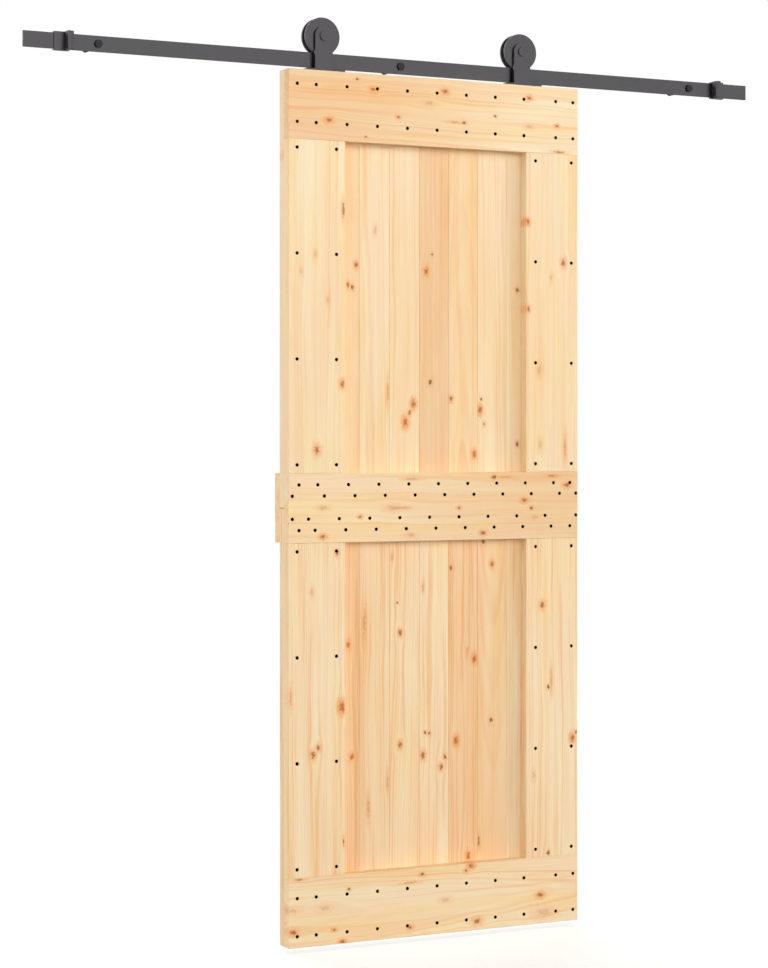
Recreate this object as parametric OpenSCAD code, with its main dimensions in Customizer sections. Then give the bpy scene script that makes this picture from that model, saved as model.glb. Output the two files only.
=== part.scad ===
// Sliding barn door of pine boards, hung by two grooved wheels on a flat steel track.
// The origin is on the wall plane, on the axis of the track's middle fixing.
// X runs along the track to the right, Y points into the wall and Z points up.

/* [Door] */
// Width of the door
door_w = 800; // [720:5:900]
// Height of the door
door_h = 2100; // [1900:10:2300]
// Thickness of every board
board_t = 27; // [24:0.5:30]
// Height of the top, middle and bottom rails
cross_rail_h = 167; // [155:1:190]
// Width of the stiles
stile_w = 149; // [135:1:170]
// Mean width of the two narrow planks at the door's edges
edge_strip_w = 32.4; // [28:0.1:36]
// Shift of the planks to the right, taken from the narrow plank there
plank_shift = 4.2; // [0:0.1:4.7]
// Gap between neighbouring boards
board_gap = 0.3; // [0.2:0.1:1]
// Gap between the upper and the lower planks
half_gap = 1.5; // [0.5:0.1:3]
// Bevel along the long edges of the boards
board_bevel = 0.5; // [0.3:0.1:2]

/* [Door screws] */
// Diameter of the screw heads
screw_head_d = 8.8; // [7:0.1:9.6]
// Height of the countersunk screw heads
screw_head_h = 3; // [2:0.1:4]
// Diameter of the screw shanks
screw_d = 4; // [3:0.1:4.5]
// Wood left behind the tip of each screw
screw_tip_cover = 9; // [6:0.5:14]
// Mean distance of the screws in an edge plank from the door's edge
strip_screw_inset = 18; // [17.5:0.5:20]
// Mean distance of the rail screws in an outer plank from the door's edge
outer_plank_screw_inset = 68; // [50:0.5:95]
// Sideways shift of the other rail screws from the plank's centre
rail_screw_shift = -5; // [-10:0.5:10]
// Distance of the upper screw row from the door's top edge
top_screw_margin = 35; // [32:0.5:45]
// Distance of the lower screw row from the door's bottom edge
bottom_screw_margin = 27.5; // [15:0.5:40]
// Distance between the two screw rows of the top and bottom rails
rail_screw_pitch = 91; // [70:0.5:105]
// Distance of the stile screws from the door's side and from the stile's ends
stile_screw_inset = 20; // [14:0.5:26]
// Distance between the two screw columns of a stile
stile_screw_pitch = 104; // [80:0.5:110]
// Shift of the stile screws to the right
stile_screw_shift = 1.8; // [-4:0.1:4]
// Distance of the outer screw rows from the middle rail's centre line
mid_outer_row = 54.5; // [45:0.5:65]
// Distance of the inner screw rows from the middle rail's centre line
mid_inner_row = 27.5; // [15:0.5:35]
// Lift of all these rows over the centre line
mid_row_lift = 1.4; // [-3:0.1:3]
// Sideways distance between the two screws of a staggered pair
mid_stagger = 17.4; // [12:0.2:18.4]
// Sideways shift of the upper pairs from the plank's centre
mid_upper_shift = 7.5; // [4:0.5:14]
// Sideways shift of the lower pairs from the plank's centre
mid_lower_shift = -17; // [-22:0.5:-6]

/* [Track] */
// Length of the track
track_l = 1980; // [1800:10:2200]
// Height of the track
track_h = 37; // [34:0.5:42]
// Thickness of the track
track_t = 6; // [5:0.5:8]
// Bevel along the long edges of the track
track_bevel = 0.6; // [0.2:0.1:1]
// Distance of the outer fixings from the track's ends
fixing_margin = 180; // [150:5:220]
// Distance of the middle fixing from the track's left end
middle_fixing_from_left = 960.5; // [900:0.5:1020]
// Length of the stand-offs between track and wall
standoff_l = 85; // [70:1:95]
// Diameter of the stand-offs
standoff_d = 16; // [15:0.5:20]
// Diameter of the track bolts and of the wall threads
bolt_d = 10; // [8:0.5:11]
// Width across the flats of the bolt heads
bolt_head_af = 17; // [16:0.5:19]
// Height of the bolt heads
bolt_head_h = 7; // [5:0.1:8]
// Length of thread in each end of a stand-off
thread_depth = 28; // [20:1:32]

/* [End stops] */
// Distance of each buffer's face from its end of the track
stop_margin = 112; // [90:0.5:150]
// Length of the sleeve along the track
sleeve_l = 37; // [30:0.5:44]
// Length of the sleeve behind the buffer
sleeve_lead = 4; // [0:0.1:4.2]
// Wall of the sleeve
sleeve_wall = 3; // [2:0.1:3.1]
// Thickness of the leg that stands out of the sleeve
stop_leg_t = 8; // [5:0.5:10]
// Reach of the leg in front of the track
stop_leg_reach = 28; // [25:0.5:40]
// Thickness of the rubber buffer
buffer_t = 6.5; // [6.5:0.5:10]
// Diameter of the set screws behind the sleeve
set_screw_d = 5; // [4:0.5:6]
// Length of the set screws
set_screw_l = 6; // [5:0.5:9]

/* [Hangers] */
// Distance of the door's left edge from the middle fixing
door_left_reach = 309.5; // [250:0.5:350]
// Gap between the track and the door's top edge
door_gap = 8.5; // [8.5:0.1:12]
// Distance of the left hanger from the door's left edge
left_hanger_inset = 95.5; // [80:0.5:140]
// Distance of the right hanger from the door's right edge
right_hanger_inset = 157.5; // [90:0.5:180]
// Width of the hanger strap
strap_w = 46.5; // [40:0.5:52]
// Thickness of the hanger strap
strap_t = 6; // [4:0.1:7]
// Gap between the strap and the wheel
strap_wheel_gap = 2.8; // [2:0.1:5]
// Distance of the strap's face behind the door's face
strap_setback = 5.5; // [3:0.5:10]
// Length of the hanger's foot along the door
foot_l = 100; // [90:1:120]
// Shift of the foot to the right of the strap
foot_shift = 6; // [0:0.5:7]
// Depth of the hanger's foot
foot_depth = 34; // [30:0.5:40]
// Thickness of the hanger's foot
foot_t = 5; // [4:0.1:5]
// Radius of the corners at the back of the foot
foot_corner_r = 8; // [3:0.5:12]
// Leg of the weld between strap and foot
weld_leg = 3; // [1:0.5:4]
// Diameter of the foot screws
foot_screw_d = 5; // [4:0.1:6]
// Diameter of the foot screws' heads
foot_screw_head_d = 10; // [8:0.1:11]
// Height of the foot screws' countersunk heads
foot_screw_head_h = 3.2; // [2.5:0.1:3.6]
// Length of the foot screws
foot_screw_l = 30; // [25:1:32]

/* [Wheels] */
// Diameter of the wheel over its flanges
wheel_d = 91; // [84:0.5:100]
// Width of the wheel
wheel_w = 25.5; // [22:0.1:28]
// Height of the flanges over the tread
flange_h = 7; // [5:0.1:7.4]
// Thickness of each flange at its rim
flange_rim_t = 5.5; // [3:0.1:6]
// Bevel on the outer edges of the flanges
flange_bevel = 0.6; // [0.3:0.1:2]
// Depth of the ring turned into the back of the wheel
web_recess = 1.5; // [0.5:0.1:2.5]
// Diameter of the axle bolt and bore of the bearing
axle_d = 12; // [10:0.5:12.5]
// Diameter of the axle bolt's flat head
axle_head_d = 24; // [20:0.5:26]
// Height of the axle bolt's flat head
axle_head_h = 4; // [3:0.1:5]
// Width across the flats of the axle nut
nut_af = 19; // [18:0.5:20]
// Height of the axle nut
nut_h = 10; // [8:0.5:11]
// Length of the axle bolt beyond its nut
axle_end = 2.5; // [1:0.5:5]
// Outside diameter of the bearing
bearing_d = 32; // [31:0.5:34]
// Width of the bearing
bearing_w = 10; // [9:0.1:11]
// Diameter of the balls
ball_d = 5.9; // [5:0.1:6]

/* [Hidden] */
$fn = 64;

// Clearances and overrun
overrun = 1;
screw_clearance = 0.1;
bolt_clearance = 0.05;
hole_clearance = 0.25;
seat_clearance = 0.02;
race_clearance = 0.03;
roll_gap = 0.2;
track_side_gap = 0.6;
sleeve_clearance = 0.1;
spacer_gap = 1;
buffer_wheel_gap = 1.2;
buffer_inset = 0.4;

// Small sizes of the fasteners
screw_sink = 0.3;
screw_tip_l = 5;
screw_tip_share = 0.2;
bolt_chamfer = 1.2;
axle_head_chamfer = 0.6;
thread_spare = 2;
standoff_chamfer = 0.8;
socket_share = 0.55;
socket_depth_share = 0.6;

// Counts
plank_count = 9;
ball_count = 8;
stile_rows = 4;

// Colours
pine_light = [0.95, 0.82, 0.62];
pine_warm = [0.91, 0.74, 0.52];
steel_grey = [0.36, 0.36, 0.37];
steel_dark = [0.20, 0.20, 0.21];
screw_black = [0.07, 0.06, 0.06];
rubber_grey = [0.27, 0.27, 0.28];
bright_steel = [0.72, 0.72, 0.74];

// Planks
plank_pitch = (door_w - 2 * edge_strip_w) / plank_count;
board_count = plank_count + 2;
last_board = board_count - 1;
door_mid = door_h / 2;
first_joint = edge_strip_w + plank_shift;
function board_left(i) = i == 0 ? 0 : first_joint + (i - 1) * plank_pitch;
function board_right(i) = i == last_board ? door_w : first_joint + i * plank_pitch;
function board_centre(i) = (board_left(i) + board_right(i)) / 2;
function plank_x0(i) = board_left(i) + (i == 0 ? 0 : board_gap / 2);
function plank_x1(i) = board_right(i) - (i == last_board ? 0 : board_gap / 2);

// Middle rail, and stiles between the rails
middle_rail_z = door_mid - cross_rail_h / 2;
lower_stile_z = cross_rail_h + board_gap;
upper_stile_z = door_mid + cross_rail_h / 2 + board_gap;
stile_l = door_mid - 3 * cross_rail_h / 2 - 2 * board_gap;

// Depths, from the wall forwards
track_back = -standoff_l;
track_mid = track_back - track_t / 2;
track_front = track_back - track_t;
wheel_front = track_mid - wheel_w / 2;
wheel_back = track_mid + wheel_w / 2;
strap_back = wheel_front - strap_wheel_gap;
strap_front = strap_back - strap_t;
door_front = strap_front - strap_setback;

// Heights, from the fixings' axis
track_top = track_h / 2;
tread_r = wheel_d / 2 - flange_h;
axle_z = track_top + roll_gap + tread_r;
door_top = -track_h / 2 - door_gap;
door_bottom = door_top - door_h;
foot_top = door_top + foot_t;

// Places along the track
track_left = -middle_fixing_from_left;
track_right = track_left + track_l;
fixing_xs = [track_left + fixing_margin, 0, track_right - fixing_margin];
door_left = -door_left_reach;
hanger_xs = [door_left + left_hanger_inset, door_left + door_w - right_hanger_inset];

// Screws of the door as places on its face and lengths
screw_l = 2 * board_t - screw_tip_cover;
long_screw_l = 3 * board_t - screw_tip_cover;
right_edge_x = door_w + plank_shift;
rail_screw_xs = concat(
    [plank_shift + strip_screw_inset, plank_shift + outer_plank_screw_inset],
    [for (i = [2 : plank_count - 1]) board_centre(i) + rail_screw_shift],
    [right_edge_x - outer_plank_screw_inset, right_edge_x - strip_screw_inset]
);
function screw_rows(zs) = [for (z = zs) for (x = rail_screw_xs) [x, z, screw_l]];
top_screws = screw_rows([door_h - top_screw_margin, door_h - top_screw_margin - rail_screw_pitch]);
bottom_screws = screw_rows([bottom_screw_margin, bottom_screw_margin + rail_screw_pitch]);
stile_screw_xs = [
    stile_screw_shift + stile_screw_inset,
    stile_screw_shift + stile_screw_inset + stile_screw_pitch,
    stile_screw_shift + door_w - stile_screw_inset - stile_screw_pitch,
    stile_screw_shift + door_w - stile_screw_inset
];
stile_row_pitch = (stile_l - 2 * stile_screw_inset) / (stile_rows - 1);
stile_screws = [
    for (z0 = [lower_stile_z, upper_stile_z])
        for (row = [0 : stile_rows - 1])
            for (x = stile_screw_xs)
                [x, z0 + stile_screw_inset + row * stile_row_pitch, screw_l]
];
mid_row_z = door_mid + mid_row_lift;
function mid_quad(upper_x, lower_x, upper_step, lower_step) = [
    [upper_x - upper_step, mid_row_z + mid_outer_row, long_screw_l],
    [upper_x + upper_step, mid_row_z + mid_inner_row, long_screw_l],
    [lower_x - lower_step, mid_row_z - mid_inner_row, long_screw_l],
    [lower_x + lower_step, mid_row_z - mid_outer_row, long_screw_l]
];
half_stagger = mid_stagger / 2;
right_strip_x = right_edge_x - strip_screw_inset;
mid_screws = concat(
    mid_quad(strip_screw_inset, strip_screw_inset, -half_stagger, half_stagger),
    [
        for (i = [1 : plank_count])
            each mid_quad(
                board_centre(i) + mid_upper_shift,
                board_centre(i) + mid_lower_shift,
                half_stagger,
                half_stagger
            )
    ],
    mid_quad(right_strip_x, right_strip_x, half_stagger, -half_stagger)
);
door_screws = concat(top_screws, bottom_screws, stile_screws, mid_screws);
screw_hole_r = screw_d / 2 + screw_clearance;
function screws_in(x0, x1, z0, z1) = [
    for (s = door_screws)
        if (s[0] > x0 - screw_hole_r && s[0] < x1 + screw_hole_r)
            if (s[1] > z0 - screw_hole_r && s[1] < z1 + screw_hole_r)
                s
];

// Foot screws as places seen from above, one behind the strap and one in each wing
foot_screw_x = (foot_l + strap_w) / 4;
foot_front_screw_y = strap_front + foot_depth / 4;
foot_back_screw_y = strap_front + foot_depth - foot_corner_r;
foot_screw_places = [
    for (x = hanger_xs)
        each [
            [x + foot_shift - foot_screw_x, foot_front_screw_y],
            [x + foot_shift + foot_screw_x, foot_front_screw_y],
            [x + foot_shift, foot_back_screw_y]
        ]
];
foot_hole_r = foot_screw_d / 2 + screw_clearance;

// Bearing
ring_pitch_r = (bearing_d + axle_d) / 4;
race_r = ball_d / 2 + race_clearance;
ring_wall_share = 0.3;
ring_wall = (bearing_d - axle_d) / 2 * ring_wall_share;
spacer_r = axle_d / 2 + ring_wall;
hub_lip_r = ring_pitch_r + ring_wall / 2;
hub_r = bearing_d / 2 + ring_wall;

// End stops
sleeve_h = track_h + 2 * (sleeve_clearance + sleeve_wall);
sleeve_front = track_front - sleeve_clearance - sleeve_wall;
sleeve_back = track_back + sleeve_clearance + sleeve_wall;
stop_leg_front = track_front - stop_leg_reach;
stop_leg_corner_r = stop_leg_t / 4;
buffer_back = wheel_front - buffer_wheel_gap;
buffer_front = stop_leg_front + buffer_inset;
buffer_h = sleeve_h - 2 * buffer_inset;
left_stop_x = track_left + stop_margin;
right_stop_x = track_right - stop_margin;
sleeve_x0 = sleeve_lead - sleeve_l;
set_screw_x = sleeve_lead - sleeve_l / 2;
set_screw_spread = track_h / 4;

// Shared shapes

// Rectangle with all four corners cut at 45 degrees
module beveled_rect(w, h, c) {
    polygon([[c, 0], [w - c, 0], [w, c], [w, h - c], [w - c, h], [c, h], [0, h - c], [0, c]]);
}

// Upright board with its front face on y = 0
module upright_board(w, l) {
    linear_extrude(height = l) beveled_rect(w, board_t, board_bevel);
}

// Level board with its front face on y = 0
module level_board(l, h) {
    rotate([90, 0, 90]) linear_extrude(height = l) beveled_rect(board_t, h, board_bevel);
}

// Places its children in the door's own frame: left edge, front face and bottom edge at zero
module in_door() {
    translate([door_left, door_front, door_bottom]) children();
}

// Points +Z along +Y
module along_y() {
    rotate([-90, 0, 0]) children();
}

// Countersunk screw along +Z with its head's face on z = 0, grown by a clearance for its hole
module countersunk(d, l, head_d, head_h, grow) {
    r = d / 2 + grow;
    head_r = head_d / 2 + grow;
    tip_r = r * screw_tip_share;
    rotate_extrude()
        polygon([
            [0, -grow], [head_r, -grow], [head_r, 0], [r, head_h],
            [r, l - screw_tip_l], [tip_r, l + grow], [0, l + grow]
        ]);
}

module door_screw(l, grow = 0) {
    along_y() countersunk(screw_d, l, screw_head_d, screw_head_h, grow);
}

module screw_group(places) {
    color(screw_black)
        in_door()
            for (s = places) translate([s[0], screw_sink, s[1]]) door_screw(s[2]);
}

// Removes from the front boards the heads and shanks of the screws found in the given field
module drilled_front(x0, x1, z0, z1) {
    mouth_r = screw_head_d / 2 + screw_clearance;
    difference() {
        children();
        for (s = screws_in(x0, x1, z0, z1))
            translate([s[0], 0, s[1]]) {
                translate([0, screw_sink, 0]) door_screw(s[2], screw_clearance);
                along_y() translate([0, 0, -overrun]) cylinder(h = overrun + screw_sink, r = mouth_r);
            }
    }
}

// Removes from the boards behind the front layer the shanks of the screws in the given field
module drilled_behind(x0, x1, z0, z1) {
    difference() {
        children();
        for (s = screws_in(x0, x1, z0, z1))
            translate([s[0], screw_sink, s[1]]) door_screw(s[2], screw_clearance);
    }
}

module foot_screw(grow = 0) {
    mirror([0, 0, 1]) countersunk(foot_screw_d, foot_screw_l, foot_screw_head_d, foot_screw_head_h, grow);
}

// Removes the foot screws from boards placed in the door's frame
module drilled_for_foot(x0, x1, y0, y1) {
    difference() {
        children();
        for (p = foot_screw_places)
            if (p[0] - door_left > x0 - foot_hole_r && p[0] - door_left < x1 + foot_hole_r)
                if (p[1] - door_front > y0 - foot_hole_r && p[1] - door_front < y1 + foot_hole_r)
                    translate([p[0] - door_left, p[1] - door_front, foot_top - door_bottom])
                        foot_screw(screw_clearance);
    }
}

// Track

module track() {
    hole_r = bolt_d / 2 + hole_clearance;
    color(steel_grey)
        difference() {
            translate([track_left, track_front, -track_h / 2])
                rotate([90, 0, 90])
                    linear_extrude(height = track_l) beveled_rect(track_t, track_h, track_bevel);
            for (x = fixing_xs)
                translate([x, track_front - overrun, 0])
                    along_y() cylinder(h = track_t + 2 * overrun, r = hole_r);
        }
}

// Turned stand-off with a blind thread in each end
module standoff(x) {
    r = standoff_d / 2;
    c = standoff_chamfer;
    hole_r = bolt_d / 2;
    hole_l = thread_depth + thread_spare;
    color(steel_dark)
        translate([x, track_back, 0])
            along_y()
                difference() {
                    rotate_extrude()
                        polygon([
                            [0, 0], [r - c, 0], [r, c],
                            [r, standoff_l - c], [r - c, standoff_l], [0, standoff_l]
                        ]);
                    translate([0, 0, -overrun]) cylinder(h = hole_l + overrun, r = hole_r);
                    translate([0, 0, standoff_l - hole_l]) cylinder(h = hole_l + overrun, r = hole_r);
                }
}

// Hexagon head bolts that clamp the track to its stand-offs
module track_bolts() {
    corner_r = bolt_head_af / sqrt(3);
    face_r = corner_r - bolt_chamfer;
    color(steel_dark)
        for (x = fixing_xs)
            translate([x, track_front, 0])
                along_y() {
                    cylinder(h = track_t + thread_depth, r = bolt_d / 2 - bolt_clearance);
                    translate([0, 0, -bolt_head_h])
                        intersection() {
                            cylinder(h = bolt_head_h, r = corner_r, $fn = 6);
                            cylinder(h = bolt_head_h, r1 = face_r, r2 = face_r + bolt_head_h);
                        }
                }
}

// End stops

// Sleeve round the track with a leg that stands out in front.
// The leg's inner face is on x = 0 and most of the sleeve lies to its left.
module stop_bracket() {
    sleeve_depth = sleeve_back - sleeve_front;
    leg_depth = sleeve_front - stop_leg_front;
    inner_d = track_t + 2 * sleeve_clearance;
    inner_h = track_h + 2 * sleeve_clearance;
    difference() {
        union() {
            translate([sleeve_x0, sleeve_front, -sleeve_h / 2])
                rotate([90, 0, 90])
                    linear_extrude(height = sleeve_l) beveled_rect(sleeve_depth, sleeve_h, track_bevel);
            translate([-stop_leg_t, stop_leg_front, -sleeve_h / 2])
                rotate([90, 0, 90])
                    linear_extrude(height = stop_leg_t) stop_leg_outline(leg_depth + sleeve_wall, sleeve_h);
        }
        translate([sleeve_x0 - overrun, sleeve_front + sleeve_wall, -inner_h / 2])
            cube([sleeve_l + 2 * overrun, inner_d, inner_h]);
        for (side = [-1, 1])
            translate([set_screw_x, track_back, side * set_screw_spread])
                along_y() cylinder(h = sleeve_wall + sleeve_clearance + overrun, r = set_screw_d / 2);
    }
}

// Side view of the leg, rounded at its two front corners
module stop_leg_outline(depth, h) {
    r = stop_leg_corner_r;
    for (z = [r, h - r]) translate([r, z]) circle(r = r);
    translate([0, r]) square([depth, h - 2 * r]);
    translate([r, 0]) square([depth - r, h]);
}

// Rubber block on the leg's inner face, its own face on x = buffer_t
module stop_buffer() {
    translate([0, buffer_front, -buffer_h / 2])
        rotate([90, 0, 90])
            linear_extrude(height = buffer_t)
                beveled_rect(buffer_back - buffer_front, buffer_h, stop_leg_corner_r);
}

module at_left_stop() {
    translate([left_stop_x - buffer_t, 0, 0]) children();
}

module at_right_stop() {
    translate([right_stop_x + buffer_t, 0, 0]) mirror([1, 0, 0]) children();
}

module set_screws() {
    r = set_screw_d / 2 - bolt_clearance;
    for (side = [-1, 1])
        translate([set_screw_x, track_back, side * set_screw_spread])
            along_y()
                difference() {
                    cylinder(h = set_screw_l, r = r);
                    translate([0, 0, set_screw_l * (1 - socket_depth_share)])
                        cylinder(h = set_screw_l, r = r * socket_share, $fn = 6);
                }
}

module stop_set_screws() {
    color(screw_black) {
        at_left_stop() set_screws();
        at_right_stop() set_screws();
    }
}

// Door boards

// Cross rail of the front layer, in the door's frame
module front_rail(z0) {
    drilled_front(0, door_w, z0, z0 + cross_rail_h)
        translate([0, 0, z0]) level_board(door_w, cross_rail_h);
}

module top_rail() {
    color(pine_warm)
        in_door() drilled_for_foot(0, door_w, 0, board_t) front_rail(door_h - cross_rail_h);
}

module middle_rail() {
    color(pine_warm) in_door() front_rail(middle_rail_z);
}

module bottom_rail() {
    color(pine_warm) in_door() front_rail(0);
}

module back_batten() {
    color(pine_warm)
        in_door()
            drilled_behind(0, door_w, middle_rail_z, middle_rail_z + cross_rail_h)
                translate([0, 2 * board_t, middle_rail_z]) level_board(door_w, cross_rail_h);
}

module stile(x0, z0) {
    color(pine_light)
        in_door()
            drilled_front(x0, x0 + stile_w, z0, z0 + stile_l)
                translate([x0, 0, z0]) upright_board(stile_w, stile_l);
}

// Upright plank between two heights, in the door's frame
module plank(i, z0, z1) {
    drilled_behind(plank_x0(i), plank_x1(i), z0, z1)
        translate([plank_x0(i), board_t, z0]) upright_board(plank_x1(i) - plank_x0(i), z1 - z0);
}

module upper_plank(i) {
    color(pine_light)
        in_door()
            drilled_for_foot(plank_x0(i), plank_x1(i), board_t, 2 * board_t)
                plank(i, door_mid + half_gap / 2, door_h);
}

module lower_plank(i) {
    color(pine_light) in_door() plank(i, 0, door_mid - half_gap / 2);
}

// Hangers

// Strap with a round head, welded to a foot that lies on the door's top edge
module hanger(x) {
    strap_l = axle_z - foot_top;
    axle_hole_r = axle_d / 2 + hole_clearance;
    color(steel_grey)
        difference() {
            union() {
                translate([x, strap_back, foot_top]) rotate([90, 0, 0]) linear_extrude(height = strap_t) {
                    translate([-strap_w / 2, 0]) square([strap_w, strap_l]);
                    translate([0, strap_l]) circle(r = strap_w / 2);
                }
                translate([x + foot_shift, strap_front, door_top])
                    linear_extrude(height = foot_t) foot_outline();
                translate([x - strap_w / 2, strap_back, foot_top])
                    rotate([90, 0, 90])
                        linear_extrude(height = strap_w) polygon([[0, 0], [weld_leg, 0], [0, weld_leg]]);
            }
            translate([x, strap_front - overrun, axle_z])
                along_y() cylinder(h = strap_t + 2 * overrun, r = axle_hole_r);
            for (p = foot_screw_places)
                if (abs(p[0] - x - foot_shift) < foot_l / 2)
                    translate([p[0], p[1], foot_top]) foot_screw(screw_clearance);
        }
}

// Plan of the foot: straight along the front, rounded at the two back corners
module foot_outline() {
    r = foot_corner_r;
    translate([-foot_l / 2, 0]) square([foot_l, foot_depth - r]);
    translate([r - foot_l / 2, 0]) square([foot_l - 2 * r, foot_depth]);
    for (side = [-1, 1]) translate([side * (foot_l / 2 - r), foot_depth - r]) circle(r = r);
}

module foot_screws() {
    color(screw_black)
        for (p = foot_screw_places) translate([p[0], p[1], foot_top]) foot_screw();
}

// Axle bolts, each with a flat round head
module axle_bolts() {
    r = axle_d / 2;
    head_r = axle_head_d / 2;
    h = axle_head_h;
    c = axle_head_chamfer;
    shank_l = wheel_back + spacer_gap + nut_h + axle_end - strap_front;
    color(steel_grey)
        for (x = hanger_xs)
            translate([x, strap_front, axle_z])
                along_y()
                    rotate_extrude()
                        polygon([
                            [0, -h], [head_r - c, -h], [head_r, c - h], [head_r, 0],
                            [r, 0], [r, shank_l - c], [r - c, shank_l], [0, shank_l]
                        ]);
}

module axle_nuts() {
    corner_r = nut_af / sqrt(3);
    face_r = corner_r - bolt_chamfer;
    color(steel_dark)
        for (x = hanger_xs)
            translate([x, wheel_back + spacer_gap, axle_z])
                along_y()
                    difference() {
                        intersection() {
                            cylinder(h = nut_h, r = corner_r, $fn = 6);
                            cylinder(h = nut_h, r1 = face_r + nut_h, r2 = face_r);
                        }
                        translate([0, 0, -overrun])
                            cylinder(h = nut_h + 2 * overrun, r = axle_d / 2 + bolt_clearance);
                    }
}

// Tube on the axle between two depths
module axle_tube(y0, y1, outer_r) {
    translate([0, y0, axle_z])
        along_y()
            difference() {
                cylinder(h = y1 - y0, r = outer_r);
                translate([0, 0, -overrun])
                    cylinder(h = y1 - y0 + 2 * overrun, r = axle_d / 2 + bolt_clearance);
            }
}

module axle_spacers() {
    color(bright_steel)
        for (x = hanger_xs)
            translate([x, 0, 0]) {
                axle_tube(strap_back, track_mid - bearing_w / 2, spacer_r);
                axle_tube(track_mid + bearing_w / 2, wheel_back + spacer_gap, spacer_r);
            }
}

// Bearings

// Ring with a ball groove, centred on the bearing's middle plane
module grooved_ring(inner_r, outer_r) {
    rotate_extrude()
        difference() {
            translate([inner_r, -bearing_w / 2]) square([outer_r - inner_r, bearing_w]);
            translate([ring_pitch_r, 0]) circle(r = race_r);
        }
}

module at_wheel(x) {
    translate([x, track_mid, axle_z]) along_y() children();
}

module bearing_inner_rings() {
    color(bright_steel)
        for (x = hanger_xs)
            at_wheel(x) grooved_ring(axle_d / 2 + bolt_clearance, spacer_r);
}

module bearing_outer_ring(x) {
    color(bright_steel)
        at_wheel(x) grooved_ring(bearing_d / 2 - ring_wall, bearing_d / 2 - seat_clearance);
}

module bearing_balls(x) {
    color(bright_steel)
        at_wheel(x)
            for (i = [0 : ball_count - 1])
                rotate([0, 0, i * 360 / ball_count]) translate([ring_pitch_r, 0, 0]) sphere(r = ball_d / 2);
}

// Grooved wheel with a plain front and a bearing seat between a lip and the open back
module wheel(x) {
    r = wheel_d / 2;
    w = wheel_w / 2;
    seat_r = bearing_d / 2;
    seat_w = bearing_w / 2;
    groove_w = w - flange_rim_t;
    tread_w = track_t / 2 + track_side_gap;
    c = flange_bevel;
    recess_r = tread_r - flange_rim_t;
    d = web_recess;
    color(steel_grey)
        at_wheel(x)
            rotate_extrude()
                polygon([
                    [hub_lip_r, -w], [r - c, -w], [r, c - w], [r, -groove_w], [tread_r, -tread_w],
                    [tread_r, tread_w], [r, groove_w], [r, w - c], [r - c, w],
                    [recess_r + d, w], [recess_r, w - d], [hub_r + d, w - d], [hub_r, w],
                    [seat_r, w], [seat_r, -seat_w], [hub_lip_r, -seat_w]
                ]);
}

track();
standoff(fixing_xs[0]);  // standoff_left
standoff(fixing_xs[1]);  // standoff_middle
standoff(fixing_xs[2]);  // standoff_right
track_bolts();
color(steel_grey) at_left_stop() stop_bracket();  // end_stop_left
color(steel_grey) at_right_stop() stop_bracket();  // end_stop_right
color(rubber_grey) at_left_stop() stop_buffer();  // stop_buffer_left
color(rubber_grey) at_right_stop() stop_buffer();  // stop_buffer_right
stop_set_screws();
top_rail();
middle_rail();
bottom_rail();
back_batten();
stile(0, upper_stile_z);  // stile_upper_left
stile(door_w - stile_w, upper_stile_z);  // stile_upper_right
stile(0, lower_stile_z);  // stile_lower_left
stile(door_w - stile_w, lower_stile_z);  // stile_lower_right
for (i = [0 : last_board]) {
    upper_plank(i);
    lower_plank(i);
}
screw_group(top_screws);  // top_rail_screws
screw_group(bottom_screws);  // bottom_rail_screws
screw_group(stile_screws);
screw_group(mid_screws);  // middle_rail_screws
hanger(hanger_xs[0]);  // hanger_left
hanger(hanger_xs[1]);  // hanger_right
foot_screws();
axle_bolts();
axle_nuts();
axle_spacers();
bearing_inner_rings();
wheel(hanger_xs[0]);  // wheel_left
bearing_outer_ring(hanger_xs[0]);  // bearing_outer_ring_left
bearing_balls(hanger_xs[0]);  // bearing_balls_left
wheel(hanger_xs[1]);  // wheel_right
bearing_outer_ring(hanger_xs[1]);  // bearing_outer_ring_right
bearing_balls(hanger_xs[1]);  // bearing_balls_right
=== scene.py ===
"""Looks of a sliding barn door: pine boards, black screws, strap hangers, grooved wheels and a track."""

import logging
import math
from dataclasses import dataclass
from enum import Enum

import bpy
import numpy as np
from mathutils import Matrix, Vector


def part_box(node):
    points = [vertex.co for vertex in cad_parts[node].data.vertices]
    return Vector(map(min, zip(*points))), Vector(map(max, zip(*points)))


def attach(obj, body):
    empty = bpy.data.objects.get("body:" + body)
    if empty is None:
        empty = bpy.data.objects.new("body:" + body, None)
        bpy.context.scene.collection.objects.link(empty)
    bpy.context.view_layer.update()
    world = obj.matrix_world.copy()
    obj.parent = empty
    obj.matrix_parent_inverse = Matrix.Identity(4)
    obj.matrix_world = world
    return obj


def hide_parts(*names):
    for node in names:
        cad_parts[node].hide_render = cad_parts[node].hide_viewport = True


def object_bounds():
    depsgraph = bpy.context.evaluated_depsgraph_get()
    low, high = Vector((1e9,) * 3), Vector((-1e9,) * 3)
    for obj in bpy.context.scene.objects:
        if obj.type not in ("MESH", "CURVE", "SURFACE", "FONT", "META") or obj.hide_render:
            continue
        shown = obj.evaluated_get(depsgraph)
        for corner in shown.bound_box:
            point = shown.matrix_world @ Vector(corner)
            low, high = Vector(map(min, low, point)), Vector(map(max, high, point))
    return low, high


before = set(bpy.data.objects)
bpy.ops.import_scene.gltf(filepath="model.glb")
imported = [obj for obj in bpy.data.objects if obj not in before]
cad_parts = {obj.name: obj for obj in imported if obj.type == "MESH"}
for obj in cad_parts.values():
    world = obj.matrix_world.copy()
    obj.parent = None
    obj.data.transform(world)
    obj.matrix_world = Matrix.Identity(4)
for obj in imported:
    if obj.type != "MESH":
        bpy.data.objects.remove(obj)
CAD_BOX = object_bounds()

LOG = logging.getLogger("barn_door")
MM = 0.001

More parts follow.
